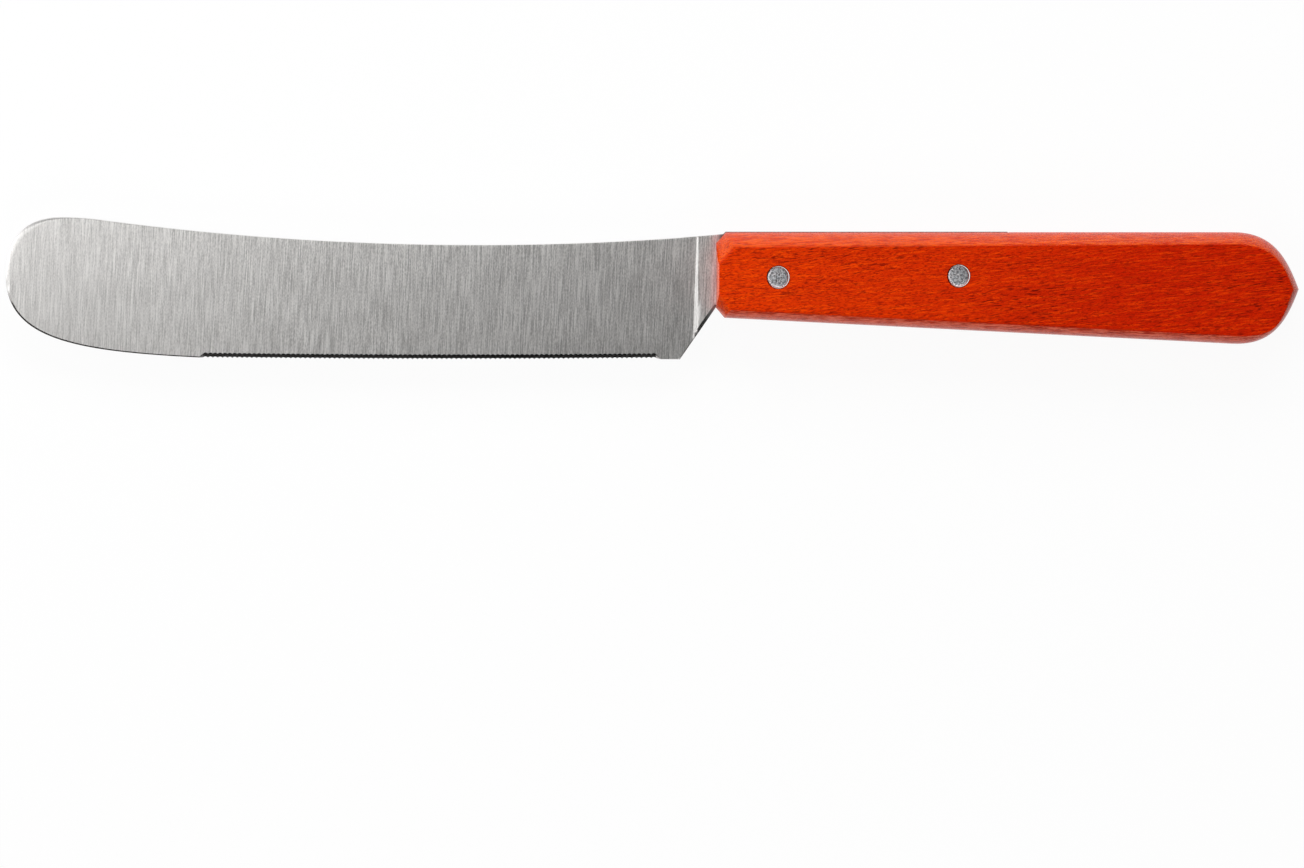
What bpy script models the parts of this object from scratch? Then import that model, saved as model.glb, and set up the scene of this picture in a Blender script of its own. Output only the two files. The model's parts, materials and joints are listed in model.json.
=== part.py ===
"""Breakfast knife, in metres, lying on its side.

A stainless blade runs back into the handle as a half tang. The handle is one piece of beech with a saw
slot for the tang, and two aluminium rivets go through wood and steel. +X runs from the tip to the butt,
+Y from the cutting edge to the back of the blade, and +Z up through the thickness. Places along X are
counted from the handle's front and places along Y from the line of the rivets. The empty that carries
the pieces puts the origin on the surface that the knife lies on, under the middle of its box.
"""

import math

import bmesh
import bpy
from mathutils import Vector

# Blade plate
BLADE_LENGTH = 0.1187  # handle front to the foremost point of the tip
STOCK_THICKNESS = 0.0015
RIM_RADIUS = 0.0004  # rounding of the plate's outline
SPINE_RADIUS = 0.4737  # hollow curve of the back
SPINE_LOW_AHEAD = 0.0399  # lowest point of the back, ahead of the handle
SPINE_LOW_HEIGHT = 0.00539  # and its height over the line of the rivets
EDGE_DROP = 0.01375  # line of the rivets down to the cutting edge
HEEL_AHEAD = 0.00602  # corner where the edge turns up to the handle
CHOIL_DROP = 0.00505  # line of the rivets down to where the heel reaches the handle

# Rounded tip; the pulls are shares of each curve's reach
CREST_BEHIND_NOSE = 0.0094  # highest point of the tip, behind its foremost point
CREST_BLEND = 0.0064  # stretch over which the hollow back turns over into the crest
NOSE_HEIGHT = 0.0004  # foremost point over the line of the rivets
BELLY_LENGTH = 0.0330  # foremost point back to the first tooth
BELLY_SLOPE = 0.0465  # fall of the belly where the teeth begin
BELLY_BLEND = 0.0112  # stretch over which the belly levels out behind that
CREST_PULL = 0.77
NOSE_UP_PULL = 0.485
NOSE_DOWN_PULL = 0.779
BELLY_PULL = 0.66

# Flat grind of both faces
GRIND_START = 0.0030  # where the full stock ends, ahead of the handle
PLUNGE_ANGLE = math.radians(31)
GROUND_BACK_THICKNESS = 0.0012  # at the back, where the grind starts
GROUND_EDGE_THICKNESS = 0.00045

# Teeth, ground from the upper face only
TOOTH_PITCH = 0.000814
TOOTH_DEPTH = 0.00018
TEETH_BAND = 0.00062  # height of the bevel that the teeth are ground in
TEETH_LINE_RADIUS = 3.1  # slight hollow curve of the line of tooth points
TEETH_LOW_AHEAD = 0.0435  # its lowest place, ahead of the handle
TEETH_LIFT = 0.00003  # and how far that lies above the plain edge
TEETH_RUN_OUT = 0.0008
TEETH_TO_HEEL = 0.0038  # plain edge between the last tooth and the heel

# Tang
TANG_LENGTH = 0.0487
TANG_RECESS = 0.0001  # how far its edges lie below the wood

# Handle outline, at the middle of its thickness
HANDLE_LENGTH = 0.09735
HANDLE_THICKNESS = 0.0120
HANDLE_TOP = 0.0075  # over the line of the rivets
HANDLE_FRONT_DROP = 0.00675  # below it at the front
HANDLE_REAR_DROP = 0.01115  # below it where the butt begins
TOP_CORNER = (0.0016, 0.0018)  # length and height of the cut corners of the front
BOTTOM_CORNER = (0.0014, 0.0016)
FRONT_HOLLOW = 0.0005
BUTT_LENGTH = 0.01105
BUTT_POINT_DROP = 0.00205  # point of the butt below the line of the rivets
BUTT_PULL = 0.595  # pulls of both curves, as shares of their reach
POINT_TOP_PULL = 0.59
POINT_BOTTOM_PULL = 0.60
POINT_ANGLE = math.radians(70)  # of both curves at the point, from the handle's length

# Flat side faces of the handle, set in from that outline
TOP_BAND = (0.0026, 0.0021)  # at the front and where the butt begins
BOTTOM_BAND = 0.00135
BUTT_BAND = 0.0009
FRONT_BAND = 0.0007
FLAT_TOP_CORNER = (0.0030, 0.0027)
FLAT_BOTTOM_CORNER = (0.0018, 0.0026)
FLAT_FULLNESS = (0.92, 1.1)  # pull of the flat's upper and lower butt curve, next to the outline's

# Slot and rivets
SLOT_CLEARANCE = 0.0001  # on each face of the tang
SLOT_END_CLEARANCE = 0.0003
RIVET_RADIUS = 0.00182
RIVET_CLEARANCE = 0.0002
RIVET_RECESS = 0.00005  # below the flat of the wood, at both ends
RIVET_CHAMFER = 0.00012
FRONT_RIVET_BEHIND = 0.01045  # behind the handle's front
REAR_RIVET_TO_TANG_END = 0.00815

# How finely the curves are stepped
SPINE_STEPS = 24
BLEND_STEPS = 4
TIP_STEPS = 16
BELLY_STEPS = 24
SCALLOP_STEPS = 4
RIM_STEPS = 2
FRONT_STEPS = 8
LONG_STEPS = 6
BUTT_STEPS = 12
BAND_STEPS = 7
ROUND_SIDES = 40
SMOOTH_ANGLE = math.radians(20)  # faces that meet at less are shaded as one surface

CUT_MARGIN = 0.001  # how far a cutter runs past what it cuts
WELD_DISTANCE = 0.000001

half_stock = STOCK_THICKNESS / 2
half_handle = HANDLE_THICKNESS / 2
nose_x = -BLADE_LENGTH
crest_x = nose_x + CREST_BEHIND_NOSE
blend_x = crest_x + CREST_BLEND
teeth_start = nose_x + BELLY_LENGTH
teeth_end = -(HEEL_AHEAD + TEETH_TO_HEEL)
butt_x = HANDLE_LENGTH - BUTT_LENGTH
rivet_places = {
    "rivet_front": FRONT_RIVET_BEHIND,
    "rivet_rear": TANG_LENGTH - REAR_RIVET_TO_TANG_END,
}


def spine_height(x):
    """Height of the hollow back over the line of the rivets."""
    along = x + SPINE_LOW_AHEAD
    return SPINE_LOW_HEIGHT + SPINE_RADIUS - math.sqrt(SPINE_RADIUS**2 - along**2)


def handle_bottom(x):
    """Height of the handle's lower edge, a negative number."""
    return -(HANDLE_FRONT_DROP + (HANDLE_REAR_DROP - HANDLE_FRONT_DROP) * x / butt_x)


blend_slope = (blend_x + SPINE_LOW_AHEAD) / SPINE_RADIUS
crest_height = spine_height(blend_x) - blend_slope * CREST_BLEND / 2
front_top = HANDLE_TOP - TOP_CORNER[1]
belly_end = Vector((teeth_start, BELLY_SLOPE * BELLY_BLEND / 2 - EDGE_DROP))


def line(start, end, steps):
    """Points from start to end, without the start."""
    return [start.lerp(end, k / steps) for k in range(1, steps + 1)]


def bezier(start, pull_start, pull_end, end, steps):
    """Points of a cubic curve, without the start."""
    points = []
    for k in range(1, steps + 1):
        t = k / steps
        first, second, third = start.lerp(pull_start, t), pull_start.lerp(pull_end, t), pull_end.lerp(end, t)
        points.append(first.lerp(second, t).lerp(second.lerp(third, t), t))
    return points


def spine_meets_handle():
    """Where the back of the blade reaches the cut corner of the handle's front."""
    x = 0.0
    for _ in range(8):
        rise = (spine_height(x) - front_top) / TOP_CORNER[1]
        x = TOP_CORNER[0] * min(max(rise, 0.0), 1.0)
    return Vector((x, spine_height(x)))


def levelling(start, slope, end):
    """A curve that leaves start along a slope and is level at its end, without the start."""
    third = (end.x - start.x) / 3
    return bezier(
        start,
        start + Vector((third, slope * third)),
        end - Vector((third, 0)),
        end,
        BLEND_STEPS,
    )


def tip_outline():
    """From the end of the hollow back, over the crest and round the nose to the level edge."""
    crest = Vector((crest_x, crest_height))
    nose = Vector((nose_x, NOSE_HEIGHT))
    points = levelling(Vector((blend_x, spine_height(blend_x))), blend_slope, crest)
    points += bezier(
        crest,
        crest - Vector((CREST_PULL * CREST_BEHIND_NOSE, 0)),
        nose + Vector((0, NOSE_UP_PULL * (crest.y - nose.y))),
        nose,
        TIP_STEPS,
    )
    pull = BELLY_PULL * BELLY_LENGTH
    points += bezier(
        nose,
        nose - Vector((0, NOSE_DOWN_PULL * (nose.y - belly_end.y))),
        belly_end + Vector((-pull, BELLY_SLOPE * pull)),
        belly_end,
        BELLY_STEPS,
    )
    level = Vector((teeth_start + BELLY_BLEND, -EDGE_DROP))
    return points + levelling(belly_end, -BELLY_SLOPE, level)


def blade_outline():
    """Outline of blade and tang, from the tang's upper rear corner round the tip and back."""
    tang_top = HANDLE_TOP - TANG_RECESS
    meet = spine_meets_handle()
    points = [Vector((TANG_LENGTH, tang_top)), Vector((TOP_CORNER[0], tang_top)), meet]
    for k in range(1, SPINE_STEPS + 1):
        x = meet.x + (blend_x - meet.x) * k / SPINE_STEPS
        points.append(Vector((x, spine_height(x))))
    points += tip_outline()
    points += [Vector((-HEEL_AHEAD, -EDGE_DROP)), Vector((0, -CHOIL_DROP))]
    for x in (BOTTOM_CORNER[0], TANG_LENGTH):
        points.append(Vector((x, handle_bottom(x) + TANG_RECESS)))
    return points


def teeth_outline():
    """The row of scallops, as depth past the line of the tooth points, closed below the edge."""
    lean = math.sin(teeth_lean())
    count = max(1, round((teeth_end - teeth_start) / TOOTH_PITCH))
    points = []
    for k in range(count * SCALLOP_STEPS + 1):
        x = teeth_start + k * TOOTH_PITCH / SCALLOP_STEPS
        across = 2 * (k % SCALLOP_STEPS) / SCALLOP_STEPS - 1
        hollow = (x + TEETH_LOW_AHEAD) ** 2 / (2 * TEETH_LINE_RADIUS)
        depth = TEETH_LIFT + hollow + TOOTH_DEPTH * (1 - across**2)
        points.append(Vector((x, lean * depth)))
    points.append(Vector((points[-1].x + TEETH_RUN_OUT, -CUT_MARGIN)))
    points.append(Vector((teeth_start - TEETH_RUN_OUT, -CUT_MARGIN)))
    return points


def teeth_lean():
    """Angle between the bevel of the teeth and the blade."""
    return math.atan2(GROUND_EDGE_THICKNESS, TEETH_BAND)


def butt_outline(top, bottom, inset, fullness):
    """Both curves of the pointed butt, from the upper edge down to the lower one."""
    start = Vector((butt_x, top))
    point = Vector((HANDLE_LENGTH - inset, -BUTT_POINT_DROP))
    end = Vector((butt_x, bottom))
    top_pull, bottom_pull = (share * BUTT_PULL * BUTT_LENGTH for share in fullness)
    rise = fullness[0] * POINT_TOP_PULL * (start.y - point.y)
    fall = fullness[1] * POINT_BOTTOM_PULL * (point.y - end.y)
    slope = (HANDLE_REAR_DROP - HANDLE_FRONT_DROP) / butt_x
    points = bezier(
        start,
        start + Vector((top_pull, 0)),
        point + Vector((-rise / math.tan(POINT_ANGLE), rise)),
        point,
        BUTT_STEPS,
    )
    points += bezier(
        point,
        point + Vector((-fall / math.tan(POINT_ANGLE), -fall)),
        end + Vector((bottom_pull, -bottom_pull * slope)),
        end,
        BUTT_STEPS,
    )
    return points


def front_outline(low, high, hollow):
    """The front, slightly hollow, from its lower corner up to its upper one."""
    points = []
    for k in range(1, FRONT_STEPS + 1):
        bow = hollow * (1 - (2 * k / FRONT_STEPS - 1) ** 2)
        points.append(low.lerp(high, k / FRONT_STEPS) + Vector((bow, 0)))
    return points


def handle_outline(front, top, bottom, butt, top_corner, bottom_corner, hollow, fullness):
    """Closed outline of the handle, set in by a distance at each side, from the lower front corner on."""
    upper_front, upper_rear = (HANDLE_TOP - band for band in top)
    low_rear = handle_bottom(front + bottom_corner[0]) + bottom
    low_front = Vector((front, handle_bottom(front) + bottom + bottom_corner[1]))
    high_front = Vector((front, upper_front - top_corner[1]))
    points = [low_front] + front_outline(low_front, high_front, hollow)
    points += line(points[-1], Vector((front + top_corner[0], upper_front)), 2)
    points += line(points[-1], Vector((butt_x, upper_rear)), LONG_STEPS)
    points += butt_outline(upper_rear, bottom - HANDLE_REAR_DROP, butt, fullness)
    points += line(points[-1], Vector((front + bottom_corner[0], low_rear)), LONG_STEPS)
    points += line(points[-1], low_front, 2)[:-1]
    return points


def clear_scene():
    for obj in list(bpy.data.objects):
        bpy.data.objects.remove(obj, do_unlink=True)


def new_collection(name):
    collection = bpy.data.collections.new(name)
    bpy.context.scene.collection.children.link(collection)
    return collection


def add_mesh(name, bm, collection):
    """A smooth-shaded object from a bmesh."""
    mesh = bpy.data.meshes.new(name)
    bmesh.ops.recalc_face_normals(bm, faces=bm.faces)
    bm.to_mesh(mesh)
    bm.free()
    mesh.shade_smooth()
    obj = bpy.data.objects.new(name, mesh)
    collection.objects.link(obj)
    return obj


def new_sharp_edges_group():
    """Geometry nodes that shade an edge smooth only where its faces meet at a small angle."""
    group = bpy.data.node_groups.new("sharp_edges", "GeometryNodeTree")
    for in_out in ("INPUT", "OUTPUT"):
        group.interface.new_socket("Geometry", in_out=in_out, socket_type="NodeSocketGeometry")
    start, end = group.nodes.new("NodeGroupInput"), group.nodes.new("NodeGroupOutput")
    angle = group.nodes.new("GeometryNodeInputMeshEdgeAngle")
    is_smooth = group.nodes.new("FunctionNodeCompare")
    is_smooth.operation = "LESS_EQUAL"
    is_smooth.inputs["B"].default_value = SMOOTH_ANGLE
    shade = group.nodes.new("GeometryNodeSetShadeSmooth")
    shade.domain = "EDGE"
    group.links.new(angle.outputs["Unsigned Angle"], is_smooth.inputs["A"])
    group.links.new(is_smooth.outputs["Result"], shade.inputs["Shade Smooth"])
    group.links.new(start.outputs["Geometry"], shade.inputs["Geometry"])
    group.links.new(shade.outputs["Geometry"], end.inputs["Geometry"])
    return group


def keep_edges_sharp(obj):
    """Comes after the cuts, so that the edges they leave are sharp too."""
    obj.modifiers.new("sharp_edges", "NODES").node_group = bpy.data.node_groups["sharp_edges"]


def as_cutter(obj):
    obj.hide_render = True
    obj.display_type = "WIRE"
    return obj


def cut(obj, cutter):
    modifier = obj.modifiers.new(cutter.name, "BOOLEAN")
    modifier.operation = "DIFFERENCE"
    modifier.solver = "EXACT"
    modifier.object = cutter


def add_plate(name, outline, thickness, collection):
    """A flat plate from an outline, as one mesh with whole caps."""
    curve = bpy.data.curves.new(name, "CURVE")
    curve.dimensions = "2D"
    curve.fill_mode = "BOTH"
    curve.extrude = thickness / 2
    spline = curve.splines.new("POLY")
    spline.points.add(len(outline) - 1)
    for point, place in zip(spline.points, outline):
        point.co = (place.x, place.y, 0, 1)
    spline.use_cyclic_u = True
    guide = bpy.data.objects.new(name + "_outline", curve)
    collection.objects.link(guide)
    bpy.context.view_layer.update()
    mesh = bpy.data.meshes.new_from_object(guide.evaluated_get(bpy.context.evaluated_depsgraph_get()))
    bm = bmesh.new()
    bm.from_mesh(mesh)
    bmesh.ops.remove_doubles(bm, verts=bm.verts, dist=WELD_DISTANCE)
    caps = [edge for edge in bm.edges if edge.calc_face_angle(1.0) < 0.0001]
    bmesh.ops.dissolve_edges(bm, edges=caps)
    plate = add_mesh(name, bm, collection)
    plate.matrix_world = guide.matrix_world
    bpy.data.objects.remove(guide)
    bpy.data.curves.remove(curve)
    bpy.data.meshes.remove(mesh)
    return plate


def add_cylinder(name, radius, length, x, collection):
    """A round bar along Z, on the line of the rivets."""
    bm = bmesh.new()
    bmesh.ops.create_cone(
        bm, cap_ends=True, segments=ROUND_SIDES, radius1=radius, radius2=radius, depth=length
    )
    bar = add_mesh(name, bm, collection)
    bar.location.x = x
    return bar


def add_material(obj, name, colour, metallic, roughness):
    material = bpy.data.materials.get(name)
    if material is None:
        material = bpy.data.materials.new(name)
        material.use_nodes = True
        shader = material.node_tree.nodes["Principled BSDF"]
        shader.inputs["Base Color"].default_value = (*colour, 1)
        shader.inputs["Metallic"].default_value = metallic
        shader.inputs["Roughness"].default_value = roughness
    obj.data.materials.append(material)


def add_rivet_cutters(cutters):
    """The drill holes, shared by the wood and the tang."""
    radius = RIVET_RADIUS + RIVET_CLEARANCE
    length = HANDLE_THICKNESS + 2 * CUT_MARGIN
    return [
        as_cutter(add_cylinder(name + "_hole", radius, length, x, cutters))
        for name, x in rivet_places.items()
    ]


def ground_half_thickness(y):
    """Half the blade's thickness where both faces are ground."""
    back = spine_height(-GRIND_START)
    share = (y + EDGE_DROP) / (back + EDGE_DROP)
    return (GROUND_EDGE_THICKNESS + (GROUND_BACK_THICKNESS - GROUND_EDGE_THICKNESS) * share) / 2


def add_grind_cutter(cutters):
    """A slab over each face, whose inner side is the ground face and whose rear end is the plunge."""
    bm = bmesh.new()
    bmesh.ops.create_cube(bm, size=2)
    for vert in bm.verts:
        y = crest_height + CUT_MARGIN if vert.co.y > 0 else -EDGE_DROP - CUT_MARGIN
        z = half_stock + CUT_MARGIN if vert.co.z > 0 else ground_half_thickness(y)
        rear = -GRIND_START - (half_stock - z) / math.tan(PLUNGE_ANGLE)
        x = rear if vert.co.x > 0 else nose_x - CUT_MARGIN
        vert.co = (x, y, z)
    slab = as_cutter(add_mesh("grind", bm, cutters))
    mirror = slab.modifiers.new("both_faces", "MIRROR")
    mirror.use_axis = (False, False, True)
    mirror.use_mirror_merge = False
    return slab


def add_teeth_cutter(cutters):
    """The grinding wheel's scalloped form, drawn along the bevel of the teeth."""
    length = 2 * (GROUND_EDGE_THICKNESS + TEETH_BAND + CUT_MARGIN)
    wheel = as_cutter(add_plate("teeth", teeth_outline(), length, cutters))
    wheel.location = (0, -EDGE_DROP, -GROUND_EDGE_THICKNESS / 2)
    wheel.rotation_euler.x = teeth_lean() - math.radians(90)
    return wheel


def round_rim(plate):
    """Rounds the edges round both caps of a plate."""
    weights = plate.data.attributes.new("bevel_weight_edge", "FLOAT", "EDGE")
    for edge in plate.data.edges:
        low, high = (plate.data.vertices[index].co.z for index in edge.vertices)
        weights.data[edge.index].value = 1.0 if abs(low - high) < WELD_DISTANCE else 0.0
    bevel = plate.modifiers.new("rim", "BEVEL")
    bevel.limit_method = "WEIGHT"
    bevel.width = RIM_RADIUS
    bevel.segments = RIM_STEPS


def add_blade(parts, grind, holes, teeth):
    """Stamped plate with rounded rim, ground faces, rivet holes and teeth."""
    blade = add_plate("blade", blade_outline(), STOCK_THICKNESS, parts)
    round_rim(blade)
    for cutter in (grind, *holes, teeth):
        cut(blade, cutter)
    keep_edges_sharp(blade)
    add_material(blade, "stainless_steel", (0.47, 0.46, 0.45), 1.0, 0.33)
    return blade


def add_slot_cutter(cutters):
    """The saw slot, open at the front, top and bottom of the handle."""
    low, high = handle_bottom(TANG_LENGTH) - CUT_MARGIN, HANDLE_TOP + CUT_MARGIN
    front, rear = -CUT_MARGIN, TANG_LENGTH + SLOT_END_CLEARANCE
    bm = bmesh.new()
    bmesh.ops.create_cube(bm, size=1)
    size = Vector((rear - front, high - low, STOCK_THICKNESS + 2 * SLOT_CLEARANCE))
    bmesh.ops.scale(bm, vec=size, verts=bm.verts)
    slot = as_cutter(add_mesh("slot", bm, cutters))
    slot.location = ((front + rear) / 2, (low + high) / 2, 0)
    return slot


def handle_ring(bm, outer, flat, share):
    """One outline of the loft, at a share of the way from the middle to the side face."""
    arch = 1 - share**2
    places = [inner.lerp(edge, arch) for edge, inner in zip(outer, flat)]
    return [bm.verts.new((place.x, place.y, half_handle * share)) for place in places]


def add_handle(parts, slot, holes):
    """A loft from the full outline at mid-thickness to the smaller flat face, mirrored."""
    outer = handle_outline(0, (0, 0), 0, 0, TOP_CORNER, BOTTOM_CORNER, FRONT_HOLLOW, (1, 1))
    flat = handle_outline(
        FRONT_BAND,
        TOP_BAND,
        BOTTOM_BAND,
        BUTT_BAND,
        FLAT_TOP_CORNER,
        FLAT_BOTTOM_CORNER,
        0,
        FLAT_FULLNESS,
    )
    bm = bmesh.new()
    rings = [handle_ring(bm, outer, flat, k / BAND_STEPS) for k in range(BAND_STEPS + 1)]
    for lower, upper in zip(rings, rings[1:]):
        for k in range(len(lower)):
            bm.faces.new((lower[k - 1], lower[k], upper[k], upper[k - 1]))
    bm.faces.new(rings[-1])
    handle = add_mesh("handle", bm, parts)
    mirror = handle.modifiers.new("other_half", "MIRROR")
    mirror.use_axis = (False, False, True)
    mirror.merge_threshold = WELD_DISTANCE
    for cutter in (slot, *holes):
        cut(handle, cutter)
    keep_edges_sharp(handle)
    add_material(handle, "stained_beech", (0.53, 0.021, 0.002), 0.0, 0.42)
    return handle


def add_rivet(name, x, parts):
    """A turned pin with chamfered ends, a little below the wood on both sides."""
    end = half_handle - RIVET_RECESS
    shoulder = RIVET_RADIUS - RIVET_CHAMFER
    profile = [(0, end), (shoulder, end), (RIVET_RADIUS, end - RIVET_CHAMFER)]
    profile += [(radius, -z) for radius, z in reversed(profile)]
    bm = bmesh.new()
    verts = [bm.verts.new((radius, 0, z)) for radius, z in profile]
    for start, stop in zip(verts, verts[1:]):
        bm.edges.new((start, stop))
    rivet = add_mesh(name, bm, parts)
    rivet.location.x = x
    screw = rivet.modifiers.new("turned", "SCREW")
    screw.axis = "Z"
    screw.steps = screw.render_steps = ROUND_SIDES
    screw.use_merge_vertices = True
    screw.merge_threshold = WELD_DISTANCE
    keep_edges_sharp(rivet)
    add_material(rivet, "aluminium", (0.36, 0.34, 0.35), 1.0, 0.5)
    return rivet


def add_carrier(parts, pieces):
    """An empty that sets the knife down with the origin under the middle of its box."""
    carrier = bpy.data.objects.new("knife", None)
    parts.objects.link(carrier)
    top = max(crest_height, HANDLE_TOP)
    bottom = min(-EDGE_DROP, -HANDLE_REAR_DROP)
    carrier.location = ((BLADE_LENGTH - HANDLE_LENGTH) / 2, -(top + bottom) / 2, half_handle)
    for piece in pieces:
        piece.parent = carrier


def main():
    clear_scene()
    new_sharp_edges_group()
    parts = new_collection("breakfast_knife")
    cutters = new_collection("cutters")
    holes = add_rivet_cutters(cutters)
    grind, teeth, slot = add_grind_cutter(cutters), add_teeth_cutter(cutters), add_slot_cutter(cutters)
    blade = add_blade(parts, grind, holes, teeth)
    handle = add_handle(parts, slot, holes)
    rivets = [add_rivet(name, x, parts) for name, x in rivet_places.items()]
    add_carrier(parts, [blade, handle, *rivets, grind, teeth, slot, *holes])


main()
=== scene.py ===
"""The look of the breakfast knife: brushed blade, stained beech handle and two aluminium rivets.

Lengths are in metres. Shapes are drawn from the handle's front (X), the line of the rivets (Y)
and the middle of the thickness (Z), and are then set down where the solids lie.
"""

import json
import math

import bmesh
import bpy
import numpy as np
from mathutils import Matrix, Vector

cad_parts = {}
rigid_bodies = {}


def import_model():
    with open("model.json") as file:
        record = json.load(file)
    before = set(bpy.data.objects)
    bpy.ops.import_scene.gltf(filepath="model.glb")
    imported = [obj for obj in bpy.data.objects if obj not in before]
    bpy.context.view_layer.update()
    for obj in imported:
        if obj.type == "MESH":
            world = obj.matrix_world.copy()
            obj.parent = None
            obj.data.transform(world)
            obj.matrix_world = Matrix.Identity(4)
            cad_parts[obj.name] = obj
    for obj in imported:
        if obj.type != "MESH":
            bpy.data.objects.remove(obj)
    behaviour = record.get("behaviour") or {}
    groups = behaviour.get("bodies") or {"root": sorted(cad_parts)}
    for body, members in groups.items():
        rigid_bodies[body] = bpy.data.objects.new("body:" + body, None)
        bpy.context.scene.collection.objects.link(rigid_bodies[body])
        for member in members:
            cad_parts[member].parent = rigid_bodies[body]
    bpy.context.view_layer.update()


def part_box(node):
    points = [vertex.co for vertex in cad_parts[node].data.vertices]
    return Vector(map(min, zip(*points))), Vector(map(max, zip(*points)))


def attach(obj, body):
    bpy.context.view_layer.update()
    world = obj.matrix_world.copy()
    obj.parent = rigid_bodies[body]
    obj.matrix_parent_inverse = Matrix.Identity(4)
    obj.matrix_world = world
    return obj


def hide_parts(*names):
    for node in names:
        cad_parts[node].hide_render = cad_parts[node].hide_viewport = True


# Picture frame
FRAME_WIDTH = 0.21787
LOOK_AT_AHEAD = 0.010693  # middle of the picture, ahead of the handle's front
LOOK_AT_BELOW = 0.02623  # and below the line of the rivets
CAMERA_HEIGHT = 0.6
FLOOR_WHITENESS = 0.94
TENT_WALL = (0.30, 0.75, 0.03, 0.48)  # direction towards the back from and to, strength there
TENT_SCREEN = (-0.75, -0.05, 0.30, 1.0)  # the same for the dark screen in front
FLOOR_SIZE = 3.0
LAMPS = (  # name, place, target, size, radiance, seen in reflections
    ("key", (-0.22, 0.04, 0.27), (-0.05, 0, 0), (0.22, 0.36), 1.56, True),
    ("left", (-0.60, 0.115, 0.215), (0, 0, 0), (0.80, 0.42), 1.05, True),
    ("above_back", (0.03, 0.42, 0.36), (0.03, 0, 0), (0.6, 0.3), 4.5, False),
    ("above_front", (0.05, -0.38, 0.40), (0.05, 0, 0), (0.5, 0.24), 2.7, True),
)

# Blade
BLADE_LENGTH = 0.1187
HALF_STOCK = 0.00075
SPINE_RADIUS = 0.4737
SPINE_LOW = (-0.0399, 0.00539)
EDGE_Y = -0.01375
HEEL_X = -0.00602
CHOIL_Y = -0.00505
CREST_X = 0.0094 - BLADE_LENGTH
CREST_BLEND = 0.0064
NOSE_Y = 0.0004
BELLY_SLOPE = 0.0465
BELLY_BLEND = 0.0112
PULLS = (0.77, 0.485, 0.779, 0.66)  # crest, nose up, nose down, belly
GROUND_BACK = 0.0006  # half thickness at the back
GROUND_EDGE = 0.000225  # half thickness at the edge
GROUND_BACK_X = -0.003  # where the back's height is taken for both
PLUNGE_RADIUS = 0.00035
PLUNGE_SLOPE = math.radians(32)
FILLET_WIDTH = PLUNGE_RADIUS * math.sin(PLUNGE_SLOPE)
FILLET_RISE = PLUNGE_RADIUS * (1 - math.cos(PLUNGE_SLOPE))
PLUNGE_TOP_X = -0.00292
PLUNGE_TOP_Y = 0.0068
PLUNGE_LEAN = 0.0085  # towards the handle, for each unit of height
TEETH_START = 0.0330 - BLADE_LENGTH
TOOTH_PITCH = 0.000814
TOOTH_COUNT = 93
TOOTH_DEPTH = 0.00018
TEETH_BAND = 0.00065
TEETH_LINE = (-0.0435, 0.00003, 3.1)  # lowest place, lift there, radius
TANG_LENGTH = 0.0487
TANG_TOP = 0.00757
TANG_RECESS = 0.0001  # of its lower side, below the wood
SHOULDER_X = 0.0012  # where the back leaves its curve and rises to the tang
SHOULDER_SLOPE = 1.1
CHOIL_SLOPE = 1.15  # fall from the heel's end to the tang's lower side

# Rim of the blade, in rows of a place and a value
BACK_RIM_WIDTH = ((-0.1150, 0.00090), (-0.1085, 0.00022), (-0.09, 0.00020),
                  (-0.06, 0.00015), (0, 0.00014), (0.0006, 0.00006))
BACK_RIM_SHARE = ((-0.115, 0.5), (-0.108, 0.8))  # of the half thickness
EDGE_RIM_WIDTH = ((-0.1187, 0.00090), (-0.11840, 0.00032), (-0.1170, 0.00028),
                  (-0.112, 0.00026), (-0.095, 0.00020), (-0.01, 0.00008))
EDGE_RIM_SHARE = ((-0.1187, 0.5), (-0.11855, 0.8))
EDGE_CHAMFER = ((-0.1187, 0), (-0.11855, 0.8), (-0.09, 0.8), (-0.02, 0))  # 1 where it is straight
CHAMFER_SLOPE = 0.75
CHAMFER_LIMIT = 0.0003
HEEL_CHAMFER = ((-0.0036, 0), (-0.0031, 1))
HEEL_RIM = (0.00014, 0.00018)  # width and height where it is round
HEEL_RIM_GROWTH = (0.00040, 0.00022)  # and how much more where it is straight

# Handle
HANDLE_LENGTH = 0.09735
HALF_HANDLE = 0.006
HANDLE_TOP = 0.0075
FRONT_DROP = 0.00675
REAR_DROP = 0.01115
BUTT_LENGTH = 0.01105
BUTT_X = HANDLE_LENGTH - BUTT_LENGTH
POINT_Y = -0.00205
BUTT_PULL = 0.595  # pulls of the butt's curves, as shares of their reach
POINT_PULLS = (0.59, 0.60)
POINT_ANGLE = math.radians(70)
TOP_CORNER = (0.0016, 0.0018)  # length and height of the cut corners of the front
BOTTOM_CORNER = (0.0014, 0.0016)
FRONT_HOLLOW = 0.00008
FLAT_FRONT = 0.0005  # how far the flat is set in at each side
FLAT_TOP = (0.00243, 0.00193)
FLAT_BOTTOM = 0.00120
FLAT_BUTT = 0.00085
FLAT_TOP_CORNER = (0.0026, 0.0027)
FLAT_BOTTOM_CORNER = (0.0018, 0.0026)
FLAT_FULLNESS = (1.02, 1.2)  # of its butt curves, next to the outline's
ARRIS_END = 1.14  # end of the eased arris, as a share of the band
FLAT_MARGIN = 1.2
LOW_BEND = 2.2  # how late the lower side bends over to the flat
FRONT_BEND = 4  # and the front
RIVETS = ((0.01035, -0.00005), (0.04052, 0.00018))
RIVET_RADIUS = 0.00179
HOLE_SHIFT = 0.00006  # of the holes, towards the butt
HOLE_RADIUS = 0.00197
HOLE_MOUTH = 0.0010
MOUTH_CONE = 0.0002
NECK_RADIUS = 0.00184
SLOT_HALF = 0.00085
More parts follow.
